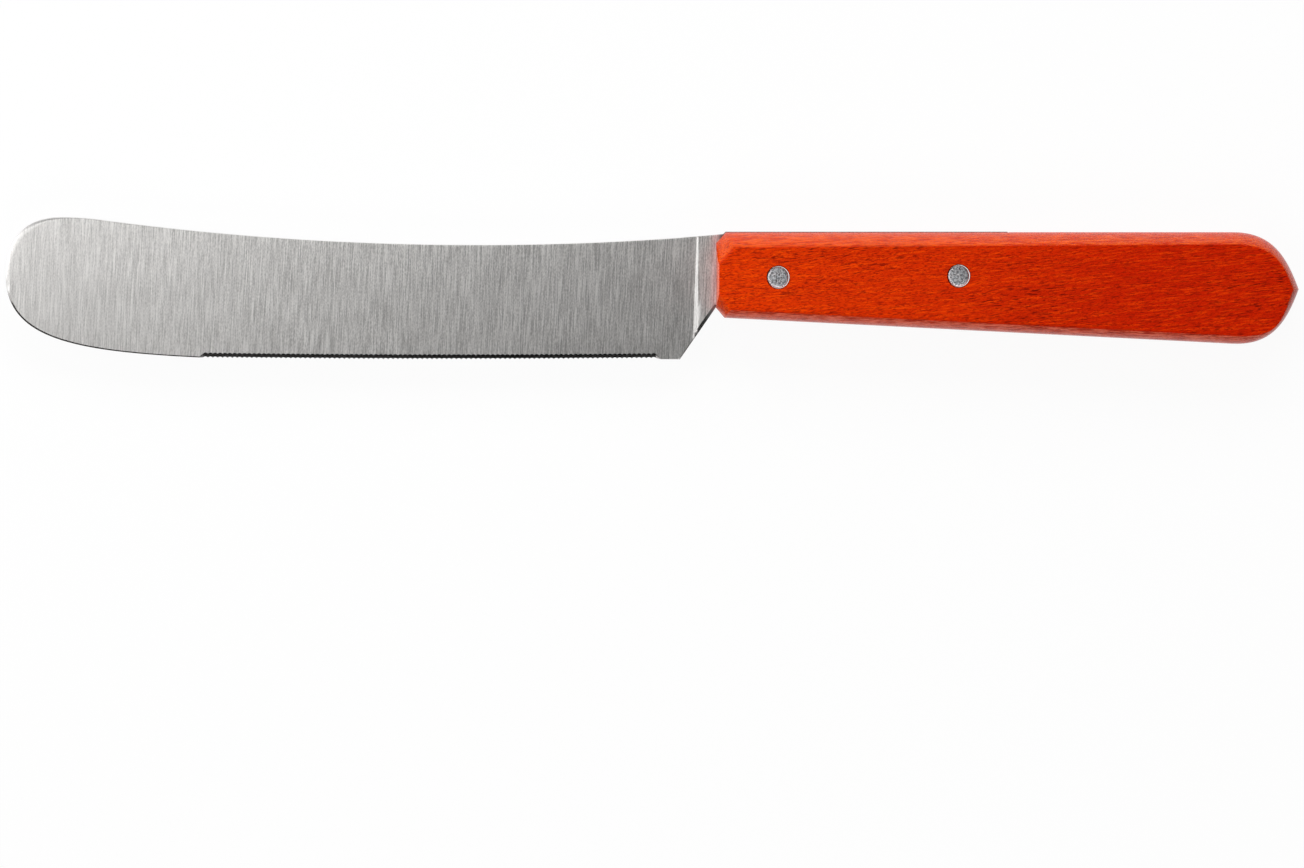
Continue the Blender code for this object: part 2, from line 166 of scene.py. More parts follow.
SLOT_END = 0.0490
SLOT_MARGIN = 0.01
SLOT_HEIGHT = 0.04
CUT_MARGIN = 0.001
RIVET_RECESS = 0.00005
RIVET_DOME = ((0, 0), (0.4, 0.000004), (0.8, 0.000014), (1, 0.00003))  # share of the way out, fall
RIVET_RIM = 0.00042
RIVET_RIM_FALL = 0.00022

# Colours. Those of the wood that come in pairs run from its front to its butt.
STEEL_BETWEEN_MARKS = (0.43, 0.421, 0.411)
STEEL_MARKS = (0.88, 0.866, 0.846)
STEEL_BRIGHT_MARKS = (0.95, 0.935, 0.915)
STEEL_CLOUDS = (0.66, 0.645, 0.630)
# Painted highlight: a lighter steel for the rims.
STEEL_RIM_PAINTED_HIGHLIGHT = (0.93, 0.92, 0.91)
# Painted shade: a darker steel for the rims at the heel.
STEEL_HEEL_RIM_PAINTED_SHADE = (0.40, 0.39, 0.385)
# Painted shade: a darker steel for the rims and bevels that face the cutting edge's side.
STEEL_LOWER_RIM_PAINTED_SHADE = (0.36, 0.345, 0.335)
STEEL_PAINTED_WOOD_REFLECTION = (0.18, 0.0, 0.01)  # added: a painted reflection of the wood's red in the steel next to the handle
STEEL_TANG = (0.20, 0.175, 0.17)
BEECH_BASE = ((0.74, 0.0400, 0.0004), (0.57, 0.0145, 0.0004))
BEECH_BRIGHT = ((0.94, 0.078, 0.0008), (0.82, 0.048, 0.0006))
BEECH_BROAD = (0.48, 0.0130, 0.0004)
BEECH_PORES = (0.29, 0.0060, 0.0004)
BEECH_FLECKS = (0.16, 0.0030, 0.0004)
# Darker, for lines just inside the flat's upper and lower arrises.
BEECH_ARRIS_LINES = (0.24, 0.0055, 0.0004)
# Partly sanded wear, partly a painted sheen that is stronger on the upper side, where the light
# falls.
BEECH_WORN_AND_SHEEN = (0.78, 0.096, 0.006)
# Painted light: lighter and pinker, for the lit front face.
BEECH_FRONT_PAINTED_LIGHT = (0.95, 0.22, 0.13)
# Painted sheen: lighter and pinker, for the rounded lower side.
BEECH_UNDER_PAINTED_SHEEN = (0.95, 0.18, 0.10)
BEECH_SUNK = (0.40, 0.018, 0.002)
PIN_LOW = (0.20, 0.185, 0.195)
PIN_HIGH = (1.0, 0.97, 0.985)
PIN_PATCHES = (0.75, 0.76, 0.78)
PIN_BLUISH = (0.78, 0.88, 0.95)
PIN_PITS = (0.10, 0.09, 0.09)
PAPER = ((0.86, 0.86, 0.86), (0.88, 0.88, 0.88))

# Finishes
BRUSH_SLANT = math.radians(3)
GRAIN_SLANT = math.radians(-6)
RELIEF_DEPTH = 0.000006
PIN_RELIEF_DEPTH = 0.00004
GRAIN_SWAY = 0.0016
UPPER_ARRIS_LINE = (0.00495, 0.0005)  # line of a darker stripe just inside the flat's upper arris: height at the front, and its rise
LOWER_ARRIS_LINE = 0.0013  # and the lower line, over the handle's lower side
ARRIS_LINE_EDGES = (0.00045, 0.00012)  # distances from a line at which the darkening begins and is full

# How finely things are stepped
NOSE_END = -0.100  # up to here the columns of the tip widen
NOSE_COLUMNS = 60
BELLY_COLUMNS = 16
PLAIN_EDGE_COLUMNS = 8
PLUNGE_COLUMNS = 5
SLOPE_COLUMNS = 3
SHOULDER_COLUMNS = 4
SHOULDER_END = 0.0016
TANG_COLUMNS = 16
BEFORE_TEETH = 0.0006  # from the last plain column to the first tooth
AFTER_TEETH = 0.00035
UPPER_TIP_STEPS = (200, 30)  # nose to crest, and crest to the hollow back
LOWER_TIP_STEPS = (300, 20)  # nose to the belly's end, and on to the level edge
ROUND_STEPS = 6
TOOTH_STEPS = 6
FACE_ROWS = 6
RIM_ROW = 0.012  # share of the face at which its first and last row lie
HEEL_DECAY = 12  # how fast the rows forget the rim's slant
FRONT_POINTS = 16
CORNER_POINTS = 5
SIDE_POINTS = 24
BUTT_POINTS = 22
BAND_STEPS = 16
ARRIS_STEPS = 5
RIVET_RIM_STEPS = 5
ROUND_SIDES = 72
MEET_TRIES = 30
ON_TOOTH_END = 1e-6  # share of a tooth
WELD_DISTANCE = 1e-8
TURNED_WELD_DISTANCE = 1e-7
SHARP_ANGLE = math.radians(30)
BLADE_SHARP_ANGLE = math.radians(25)
HANDLE_SHARP_ANGLE = math.radians(24)


def spine_y(x):
    return SPINE_LOW[1] + SPINE_RADIUS - math.sqrt(SPINE_RADIUS**2 - (x - SPINE_LOW[0]) ** 2)


def handle_bottom(x):
    return -(FRONT_DROP + (REAR_DROP - FRONT_DROP) * x / BUTT_X)


def bezier(points, steps):
    t = np.linspace(0, 1, steps + 1)[:, None]
    a, b, c, d = (np.array(p, float) for p in points)
    return (1 - t) ** 3 * a + 3 * (1 - t) ** 2 * t * b + 3 * (1 - t) * t**2 * c + t**3 * d


def tip_curves():
    """Upper and lower outline from the nose: columns x and y, with x rising."""
    blend_x = CREST_X + CREST_BLEND
    slope = (blend_x - SPINE_LOW[0]) / SPINE_RADIUS
    crest = (CREST_X, spine_y(blend_x) - slope * CREST_BLEND / 2)
    nose_x, third = -BLADE_LENGTH, CREST_BLEND / 3
    upper = bezier([(nose_x, NOSE_Y), (nose_x, NOSE_Y + PULLS[1] * (crest[1] - NOSE_Y)),
                    (crest[0] + PULLS[0] * (nose_x - crest[0]), crest[1]), crest],
                   UPPER_TIP_STEPS[0])
    start = (blend_x, spine_y(blend_x))
    over = bezier([crest, (crest[0] + third, crest[1]),
                   (start[0] - third, start[1] - slope * third), start], UPPER_TIP_STEPS[1])
    end = (TEETH_START, EDGE_Y + BELLY_SLOPE * BELLY_BLEND / 2)
    pull = PULLS[3] * (TEETH_START - nose_x)
    lower = bezier([(nose_x, NOSE_Y), (nose_x, NOSE_Y + PULLS[2] * (end[1] - NOSE_Y)),
                    (end[0] - pull, end[1] + BELLY_SLOPE * pull), end], LOWER_TIP_STEPS[0])
    third = BELLY_BLEND / 3
    level = bezier([end, (end[0] + third, end[1] - BELLY_SLOPE * third),
                    (end[0] + 2 * third, EDGE_Y), (end[0] + BELLY_BLEND, EDGE_Y)],
                   LOWER_TIP_STEPS[1])
    return np.vstack([upper, over[1:]]), np.vstack([lower, level[1:]])


UPPER_TIP, LOWER_TIP = tip_curves()


def top_y(x):
    """Height of the outline's upper side."""
    if x < UPPER_TIP[-1, 0]:
        return float(np.interp(x, UPPER_TIP[:, 0], UPPER_TIP[:, 1]))
    if x <= SHOULDER_X:
        return spine_y(x)
    return min(TANG_TOP, spine_y(SHOULDER_X) + (x - SHOULDER_X) * SHOULDER_SLOPE)


def bottom_y(x):
    """Height of the outline's lower side, before the teeth are ground."""
    if x < LOWER_TIP[-1, 0]:
        return float(np.interp(x, LOWER_TIP[:, 0], LOWER_TIP[:, 1]))
    if x < HEEL_X:
        return EDGE_Y
    if x < 0:
        return EDGE_Y + (CHOIL_Y - EDGE_Y) * (x - HEEL_X) / -HEEL_X
    return max(CHOIL_Y - x * CHOIL_SLOPE, handle_bottom(x) + TANG_RECESS)


def ground(y):
    """Half thickness of the ground part."""
    share = (y - EDGE_Y) / (spine_y(GROUND_BACK_X) - EDGE_Y)
    return GROUND_EDGE + (GROUND_BACK - GROUND_EDGE) * share


def plunge_end(y):
    """Where the grind ends and the full stock begins."""
    return PLUNGE_TOP_X + PLUNGE_LEAN * (y - PLUNGE_TOP_Y)


def plunge_width(y):
    return FILLET_WIDTH + (HALF_STOCK - ground(y) - FILLET_RISE) / math.tan(PLUNGE_SLOPE)


def half_thickness(x, y):
    """Ground face, then a small hollow and a slope up to the full stock."""
    end = plunge_end(y)
    into = x - (end - plunge_width(y))
    if into <= 0:
        return ground(y)
    if x >= end:
        return HALF_STOCK
    if into < FILLET_WIDTH:
        return ground(y) + PLUNGE_RADIUS - math.sqrt(PLUNGE_RADIUS**2 - into**2)
    return HALF_STOCK - (end - x) * math.tan(PLUNGE_SLOPE)


def tooth_depth(x):
    """How far the teeth are ground past the plain edge, and nothing outside their row."""
    low, lift, radius = TEETH_LINE
    place = (x - TEETH_START) / TOOTH_PITCH
    if not -ON_TOOTH_END <= place <= TOOTH_COUNT + ON_TOOTH_END:
        return None
    across = 2 * (place % 1.0) - 1
    if abs(place - round(place)) < ON_TOOTH_END:
        across = 1.0
    return lift + (x - low) ** 2 / (2 * radius) + TOOTH_DEPTH * (1 - across**2)


def spaced(start, end, count, ease=False):
    """Places from start to end, without the start. With ease they start close together."""
    shares = np.arange(1, count + 1) / count
    if ease:
        shares = 1 - np.cos(shares * math.pi / 2)
    return [start + (end - start) * s for s in shares]


def columns():
    """Lines across the blade, each as a function that gives x for a height y."""
    lines = [lambda y: -BLADE_LENGTH]
    tip = spaced(-BLADE_LENGTH, NOSE_END, NOSE_COLUMNS, ease=True)
    for x in tip + spaced(NOSE_END, TEETH_START - BEFORE_TEETH, BELLY_COLUMNS):
        lines.append(lambda y, x=x: x)
    for k in range(TOOTH_COUNT * TOOTH_STEPS + 1):
        lines.append(lambda y, x=TEETH_START + k * TOOTH_PITCH / TOOTH_STEPS: x)
    teeth_end = TEETH_START + TOOTH_COUNT * TOOTH_PITCH
    for x in spaced(teeth_end + AFTER_TEETH, HEEL_X, PLAIN_EDGE_COLUMNS):
        lines.append(lambda y, x=x: x)
    for s in spaced(0, 1, PLUNGE_COLUMNS):
        lines.append(lambda y, s=s: HEEL_X + (plunge_end(y) - plunge_width(y) - HEEL_X) * s)
    for s in spaced(0, 1, PLUNGE_COLUMNS):
        lines.append(lambda y, s=s: plunge_end(y) - plunge_width(y) + FILLET_WIDTH * s)
    for s in spaced(0, 1, SLOPE_COLUMNS):
        lines.append(lambda y, s=s: plunge_end(y) - (plunge_width(y) - FILLET_WIDTH) * (1 - s))
    for s in spaced(0, 1, PLUNGE_COLUMNS):
        lines.append(lambda y, s=s: plunge_end(y) * (1 - s))
    shoulder = spaced(0, SHOULDER_END, SHOULDER_COLUMNS)
    for x in shoulder + spaced(SHOULDER_END, TANG_LENGTH, TANG_COLUMNS):
        lines.append(lambda y, x=x: x)
    return lines


def meet(line, outline, y):
    """Where a line across meets an outline."""
    for _ in range(MEET_TRIES):
        y = outline(line(y))
    return np.array([line(y), y])


def inward(chain, side):
    """Unit vectors into the blade from each point of one side's outline."""
    along = np.gradient(chain, axis=0)
    along[0] = (0, side)
    normal = np.stack([along[:, 1], -along[:, 0]], axis=1) * side
    return normal / np.linalg.norm(normal, axis=1)[:, None]


def value_at(x, rows):
    """The value at a place, from rows of a place and a value."""
    return float(np.interp(x, *zip(*rows)))


def rim_sizes(x, upper):
    """Width and height of the worked outline, and how far it is a chamfer and not round."""
    if upper:
        height = value_at(x, BACK_RIM_SHARE) * half_thickness(x, top_y(x))
        return value_at(x, BACK_RIM_WIDTH), height, 0.0
    if x >= HEEL_X:
        straight = value_at(x, HEEL_CHAMFER)
        return *(size + more * straight for size, more in zip(HEEL_RIM, HEEL_RIM_GROWTH)), straight
    width, straight = value_at(x, EDGE_RIM_WIDTH), value_at(x, EDGE_CHAMFER)
    height = (1 - straight) * value_at(x, EDGE_RIM_SHARE) * half_thickness(x, bottom_y(x))
    return width, height + straight * CHAMFER_SLOPE * min(width, CHAMFER_LIMIT), straight


def rounding(point, normal, width, height, straight, sign):
    """Profile from the side of the plate on to one face, as rows of x, y, z."""
    rows = []
    for k in range(ROUND_STEPS + 1):
        turn, share = math.radians(90) * k / ROUND_STEPS, k / ROUND_STEPS
        inset = (1 - straight) * (1 - math.cos(turn)) + straight * share
        rise = (1 - straight) * math.sin(turn) + straight * share
        x, y = point + normal * width * inset
        rows.append((x, y, sign * (half_thickness(x, y) - height * (1 - rise))))
    return rows


def edge_profile(point, normal):
    """Rows round the lower side, from the lower face to the upper face."""
    x, y = point
    depth = tooth_depth(x)
    sizes = rim_sizes(x, False)
    if depth is None:
        return rounding(point, normal, *sizes, -1)[::-1] + rounding(point, normal, *sizes, 1)
    start = EDGE_Y + depth
    heights = [start + sizes[0] * k / ROUND_STEPS for k in range(ROUND_STEPS, -1, -1)]
    rows = [(x, y, -ground(y)) for y in heights]
    top = start + TEETH_BAND
    for k in range(1, ROUND_STEPS + 2):
        share = k / (ROUND_STEPS + 1)
        height = ground(top) * share - ground(start) * (1 - share)
        rows.append((x, start + TEETH_BAND * share, height))
    return rows


def face_rows(start, end, line, sign):
    """Rows across one face between two rims, without both ends, and close to the rims at first."""
    rows, decay = [], HEEL_DECAY if line(0) > HEEL_X else 1
    from_start, from_end = start[0] - line(start[1]), end[0] - line(end[1])
    for share in (RIM_ROW, *(k / FACE_ROWS for k in range(1, FACE_ROWS)), 1 - RIM_ROW):
        y = start[1] + (end[1] - start[1]) * share
        x = line(y) + from_start * (1 - share) ** decay + from_end * share**decay
        rows.append((x, y, sign * half_thickness(x, y)))
    return rows


def blade_rings():
    lines = columns()
    tops, bottoms = [], []
    for line in lines:
        tops.append(meet(line, top_y, TANG_TOP))
        bottoms.append(meet(line, bottom_y, CHOIL_Y))
    tops[0] = bottoms[0] = np.array([-BLADE_LENGTH, NOSE_Y])
    tops, bottoms = np.array(tops), np.array(bottoms)
    up_in, down_in = inward(tops, 1), inward(bottoms, -1)
    up_in[0] = down_in[0] = (1, 0)
    rings = []
    for k, line in enumerate(lines):
        sizes = rim_sizes(tops[k][0], True)
        over = rounding(tops[k], up_in[k], *sizes, 1)[::-1]
        over += rounding(tops[k], up_in[k], *sizes, -1)
        under = edge_profile(bottoms[k], down_in[k])
        upper = face_rows(under[-1], over[0], line, 1)
        lower = face_rows(over[-1], under[0], line, -1)
        rings.append(under + upper + over + lower)
    return rings


def shade(mesh, angle):
    """Smooth, but for the edges that turn by more than an angle."""
    mesh.shade_smooth()
    mesh.set_sharp_from_angle(angle=angle)


def mesh_object(name, bm):
    mesh = bpy.data.meshes.new(name)
    bm.to_mesh(mesh)
    bm.free()
    shade(mesh, SHARP_ANGLE)
    obj = bpy.data.objects.new(name, mesh)
    bpy.context.scene.collection.objects.link(obj)
    return obj


def loft(rings, cap_start=False):
    """A skin over rings of points, closed at the end and, where asked, at the start."""
    bm = bmesh.new()
    loops = [[bm.verts.new(point) for point in ring] for ring in rings]
    for first, second in zip(loops, loops[1:]):
        for k in range(len(first)):
            bm.faces.new((first[k - 1], first[k], second[k], second[k - 1]))
    if cap_start:
        bm.faces.new(loops[0][::-1])
    bm.faces.new(loops[-1])
    bmesh.ops.remove_doubles(bm, verts=bm.verts, dist=WELD_DISTANCE)
    bmesh.ops.recalc_face_normals(bm, faces=bm.faces)
    return bm


def cut_away(obj, cutters, angle):
    """Takes the cutters out of a piece for good, removes them, and shades what is left."""
    for cutter in cutters:
        modifier = obj.modifiers.new(cutter.name, "BOOLEAN")
        modifier.operation = "DIFFERENCE"
        modifier.solver = "EXACT"
        modifier.object = cutter
    graph = bpy.context.evaluated_depsgraph_get()
    mesh = bpy.data.meshes.new_from_object(obj.evaluated_get(graph))
    obj.modifiers.clear()
    obj.data = mesh
    for cutter in cutters:
        bpy.data.objects.remove(cutter)
    shade(mesh, angle)


def turned(name, profile, place):
    """A piece turned about a rivet's axis from a profile of radius and height."""
    bm = bmesh.new()
    verts = [bm.verts.new((radius, 0, z)) for radius, z in profile]
    edges = [bm.edges.new(pair) for pair in zip(verts, verts[1:])]
    bmesh.ops.spin(bm, geom=verts + edges, cent=(0, 0, 0), axis=(0, 0, 1), angle=2 * math.pi,
                   steps=ROUND_SIDES)
    bmesh.ops.remove_doubles(bm, verts=bm.verts, dist=TURNED_WELD_DISTANCE)
    bmesh.ops.recalc_face_normals(bm, faces=bm.faces)
    bmesh.ops.translate(bm, vec=(*place, 0), verts=bm.verts)
    return mesh_object(name, bm)


def hole_cutters():
    """Holes that open out at both flats of the handle."""
    neck = HALF_HANDLE - HOLE_MOUTH
    end = HALF_HANDLE + CUT_MARGIN
    half = [(0.0, end), (HOLE_RADIUS, end), (HOLE_RADIUS, neck + MOUTH_CONE), (NECK_RADIUS, neck)]
    profile = half + [(radius, -z) for radius, z in reversed(half)]
    return [turned(f"hole_{k}", profile, (x + HOLE_SHIFT, y)) for k, (x, y) in enumerate(RIVETS)]


def make_blade():
    blade = mesh_object("blade_polished", loft(blade_rings()))
    cut_away(blade, hole_cutters(), BLADE_SHARP_ANGLE)
    return blade


def straight(start, end, steps):
    return [start.lerp(end, k / steps) for k in range(1, steps + 1)]


def curve(points, steps):
    return [Vector(p) for p in bezier(points, steps)[1:]]


def butt_outline(top, bottom, inset, fullness):
    """Both curves of the pointed butt, from the upper side down to the lower one."""
    point = Vector((HANDLE_LENGTH - inset, POINT_Y))
    pulls = [share * BUTT_PULL * BUTT_LENGTH for share in fullness]
    rise = fullness[0] * POINT_PULLS[0] * (top - point.y)
    fall = fullness[1] * POINT_PULLS[1] * (point.y - bottom)
    slope = (REAR_DROP - FRONT_DROP) / BUTT_X
    lean = 1 / math.tan(POINT_ANGLE)
    points = curve([(BUTT_X, top), (BUTT_X + pulls[0], top),
                    (point.x - rise * lean, point.y + rise), point], BUTT_POINTS)
    points += curve([point, (point.x - fall * lean, point.y - fall),
                     (BUTT_X + pulls[1], bottom - pulls[1] * slope), (BUTT_X, bottom)], BUTT_POINTS)
    return points


def handle_outline(front, top, bottom, butt, top_corner, bottom_corner, hollow, fullness):
    """Closed outline from the lower front corner on, set in by a distance at each side."""
    upper_front, upper_rear = (HANDLE_TOP - band for band in top)
    low = Vector((front, handle_bottom(front) + bottom + bottom_corner[1]))
    high = Vector((front, upper_front - top_corner[1]))
    points = [low]
    for k in range(1, FRONT_POINTS + 1):
        share = k / FRONT_POINTS
        points.append(low.lerp(high, share) + Vector((hollow * 4 * share * (1 - share), 0)))
    points += straight(points[-1], Vector((front + top_corner[0], upper_front)), CORNER_POINTS)
    points += straight(points[-1], Vector((BUTT_X, upper_rear)), SIDE_POINTS)
    points += butt_outline(upper_rear, bottom - REAR_DROP, butt, fullness)
    low_x = front + bottom_corner[0]
    points += straight(points[-1], Vector((low_x, handle_bottom(low_x) + bottom)), SIDE_POINTS)
    points += straight(points[-1], low, CORNER_POINTS)[:-1]
    return points


def band_profile():
    """How far the side is set in, as a share of the band, and the height, up to the eased arris."""
    rows = [((k / BAND_STEPS) ** 2, HALF_HANDLE * k / BAND_STEPS) for k in range(BAND_STEPS)]
    first, corner, last = rows[-1], (1.0, HALF_HANDLE), (ARRIS_END, HALF_HANDLE)
    for k in range(1, ARRIS_STEPS + 1):
        t = k / ARRIS_STEPS
        rows.append(tuple((1 - t) ** 2 * a + 2 * (1 - t) * t * b + t * t * c
                          for a, b, c in zip(first, corner, last)))
    return rows + [(FLAT_MARGIN, HALF_HANDLE)]


def late_bend(k):
    """How much later than the upper side one point of the outline bends over to the flat."""
    if k <= FRONT_POINTS:
        side = LOW_BEND + (1 - LOW_BEND) * k / FRONT_POINTS
        return side + (FRONT_BEND - side) * min(1, k / 2, (FRONT_POINTS - k) / 2)
    butt_start = FRONT_POINTS + CORNER_POINTS + SIDE_POINTS
    return value_at(k, ((butt_start, 1), (butt_start + 2 * BUTT_POINTS, LOW_BEND)))


def make_handle():
    outer = handle_outline(0, (0, 0), 0, 0, TOP_CORNER, BOTTOM_CORNER, FRONT_HOLLOW, (1, 1))
    flat = handle_outline(FLAT_FRONT, FLAT_TOP, FLAT_BOTTOM, FLAT_BUTT, FLAT_TOP_CORNER,
                          FLAT_BOTTOM_CORNER, 0, FLAT_FULLNESS)
    profile = band_profile()
    profile = [(share, -z) for share, z in profile[:0:-1]] + profile
    bends = [late_bend(k) for k in range(len(outer))]
    rings = []
    for share, z in profile:
        parts = [share**bend if share < 1 else share for bend in bends]
        rings.append([(*edge.lerp(inner, part), z)
                      for edge, inner, part in zip(outer, flat, parts)])
    handle = mesh_object("handle_stained", loft(rings, cap_start=True))
    bm = bmesh.new()
    bmesh.ops.create_cube(bm, size=1)
    bmesh.ops.scale(bm, vec=(SLOT_END + SLOT_MARGIN, SLOT_HEIGHT, 2 * SLOT_HALF), verts=bm.verts)
    bmesh.ops.translate(bm, vec=((SLOT_END - SLOT_MARGIN) / 2, 0, 0), verts=bm.verts)
    slot = mesh_object("slot_cutter", bm)
    cut_away(handle, [slot, *hole_cutters()], HANDLE_SHARP_ANGLE)
    return handle


def make_rivet(name, place):
    """A pin with peened ends: a shallow dome with a rolled rim."""
    end, dome = HALF_HANDLE - RIVET_RECESS, RIVET_RADIUS - RIVET_RIM
    profile = [(share * dome, end - fall) for share, fall in RIVET_DOME]
    rim_top = profile[-1][1]
    for k in range(1, RIVET_RIM_STEPS + 1):
        turn = math.radians(90) * k / RIVET_RIM_STEPS
        profile.append((dome + RIVET_RIM * math.sin(turn),
                        rim_top - RIVET_RIM_FALL * (1 - math.cos(turn))))
    profile += [(radius, -z) for radius, z in reversed(profile)]
    return turned(name, profile, place)


class Shader:
    """A material that is put together node by node."""

    def __init__(self, name):
        self.material = bpy.data.materials.new(name)
        self.material.use_nodes = True
        self.tree = self.material.node_tree
        self.shader = self.tree.nodes["Principled BSDF"]
        self.place = self.add("ShaderNodeTexCoord").outputs["Object"]

    def put(self, socket, value):
        if isinstance(value, bpy.types.NodeSocket):
            self.tree.links.new(value, socket)
        elif socket.type == "RGBA":
            socket.default_value = (*value, 1)
        else:
            socket.default_value = value

    def add(self, kind, inputs=None, **settings):
        node = self.tree.nodes.new(kind)
        for key, value in settings.items():
            setattr(node, key, value)
        for key, value in (inputs or {}).items():
            self.put(node.inputs[key], value)
        return node

    def math(self, operation, first, second=0.0):
        return self.add("ShaderNodeMath", {0: first, 1: second}, operation=operation).outputs[0]

    def times(self, first, *others):
        for other in others:
            first = self.math("MULTIPLY", first, other)
        return first

    def mapped(self, scale, rotation=(0, 0, 0), vector=None):
        """The place on the piece, turned by a rotation and then stretched by a scale."""
        inputs = {"Vector": vector or self.place, "Rotation": rotation}
        rotated = self.add("ShaderNodeMapping", inputs).outputs[0]
        return self.add("ShaderNodeMapping", {"Vector": rotated, "Scale": scale}).outputs[0]

    def noise(self, vector, detail=2.0, roughness=0.5):
        inputs = {"Vector": vector, "Scale": 1.0, "Detail": detail, "Roughness": roughness}
        return self.add("ShaderNodeTexNoise", inputs).outputs["Fac"]

    def span(self, value, low, high, to_low=0.0, to_high=1.0):
        """A value's way from low to high, and what it becomes there, without going further."""
        return self.add("ShaderNodeMapRange", {
            "Value": value, "From Min": low, "From Max": high, "To Min": to_low, "To Max": to_high,
        }, clamp=True).outputs[0]

    def mix(self, share, first, second, blend="MIX"):
        node = self.add("ShaderNodeMix", data_type="RGBA", blend_type=blend)
        for index, value in ((0, share), (6, first), (7, second)):
            self.put(node.inputs[index], value)
        return node.outputs[2]

    def vector(self, operation, first, second):
        """A calculation with two vectors, or with a vector and a scale."""
        inputs = {0: first, "Scale" if operation == "SCALE" else 1: second}
        return self.add("ShaderNodeVectorMath", inputs, operation=operation).outputs[0]

    def normal(self):
        """Width, depth and height of the way that the surface faces."""
        facing = self.add("ShaderNodeNewGeometry").outputs["Normal"]
        return self.add("ShaderNodeSeparateXYZ", {0: facing}).outputs

    def count_from(self, origin):
        """Moves the place to the drawing's zero, and gives its three parts."""
        self.place = self.vector("SUBTRACT", self.place, origin)
        return self.add("ShaderNodeSeparateXYZ", {0: self.place}).outputs

    def bump(self, height, distance, strength):
        inputs = {"Strength": strength, "Distance": distance, "Height": height}
        return self.add("ShaderNodeBump", inputs).outputs[0]

    def finish(self, **sockets):
        for key, value in sockets.items():
            self.put(self.shader.inputs[key.replace("_", " ")], value)
        return self.material


def steel(origin):
    """Steel brushed across the blade, with ground bevels and a rim that are smoother."""
    s = Shader("brushed_steel")
    x, y, _ = s.count_from(origin)
    slant = (0, 0, BRUSH_SLANT)
    fine = s.noise(s.mapped((5200, 170, 400), slant), detail=2, roughness=0.80)
    short = s.noise(s.mapped((7000, 2400, 2400), slant), detail=1, roughness=0.6)
    sparse = s.noise(s.mapped((3900, 140, 300), slant), detail=0)
    cloud = s.noise(s.mapped((110, 70, 90)), detail=2)
    bands = s.noise(s.mapped((330, 16, 16), slant), detail=2)
    streaks = s.math("ADD", s.times(fine, 0.65), s.times(short, 0.35))
    spread = s.span(x, -0.115, -0.070, 0.175, 0.112)
    marks = s.span(streaks, s.math("SUBTRACT", 0.5, spread), s.math("ADD", 0.5, spread))
    tint = s.mix(marks, STEEL_BETWEEN_MARKS, STEEL_MARKS)
    tint = s.mix(s.span(sparse, 0.62, 0.74, 0, 0.45), tint, STEEL_BRIGHT_MARKS)
    tint = s.mix(s.span(cloud, 0.3, 0.7, 0, 0.12), tint, STEEL_CLOUDS)
    # Painted light: the steel is made lighter towards the back and darker towards the edge.
    tint = s.mix(1.0, tint, s.span(y, -0.0125, 0.0065, 0.925, 1.105), "MULTIPLY")
    tint = s.mix(1.0, tint, s.span(bands, 0.35, 0.65, 0.975, 1.025), "MULTIPLY")

    facing = s.normal()
    tilted = s.span(s.math("ABSOLUTE", facing[2]), 0.985, 0.90)
    lower_rim = s.times(tilted, s.span(facing[1], 0.0, -0.25))
    heel = s.span(x, HEEL_X, HEEL_X + 0.001)
    # Painted highlight: the rims ahead of the heel are made lighter.
    tint = s.mix(s.times(tilted, s.span(heel, 0, 1, 0.6, 0)), tint, STEEL_RIM_PAINTED_HIGHLIGHT)
    # Painted shade: the rims at the heel are made darker.
    tint = s.mix(s.times(tilted, heel, 0.35), tint, STEEL_HEEL_RIM_PAINTED_SHADE)
    # Painted shade: the rims and tooth bevels that face the cutting edge's side are made darker.
    tint = s.mix(s.times(lower_rim, 0.8), tint, STEEL_LOWER_RIM_PAINTED_SHADE)
    # Painted reflection: the wood's red is added to the steel next to the handle.
    tint = s.mix(s.span(x, -0.0011, 0.0), tint, STEEL_PAINTED_WOOD_REFLECTION, "ADD")
    tint = s.mix(s.span(x, 0.0, 0.0008, 0, 0.8), tint, STEEL_TANG)

    rough = s.math("ADD", s.span(streaks, 0.3, 0.7, 0.31, 0.41),
                   s.span(cloud, 0.3, 0.7, 0.01, 0.025))
    smoother = s.times(lower_rim, s.math("SUBTRACT", rough, 0.16))
    rough = s.math("SUBTRACT", rough, smoother)
    rough = s.math("ADD", rough, s.span(x, PLUNGE_TOP_X, -0.0003, 0, 0.20))
    brushed = s.add("ShaderNodeTangent", direction_type="RADIAL", axis="Y").outputs[0]
    return s.finish(Base_Color=tint, Metallic=1.0, Roughness=rough, Anisotropic=0.6,
                    Tangent=brushed, Normal=s.bump(streaks, RELIEF_DEPTH, 0.35))


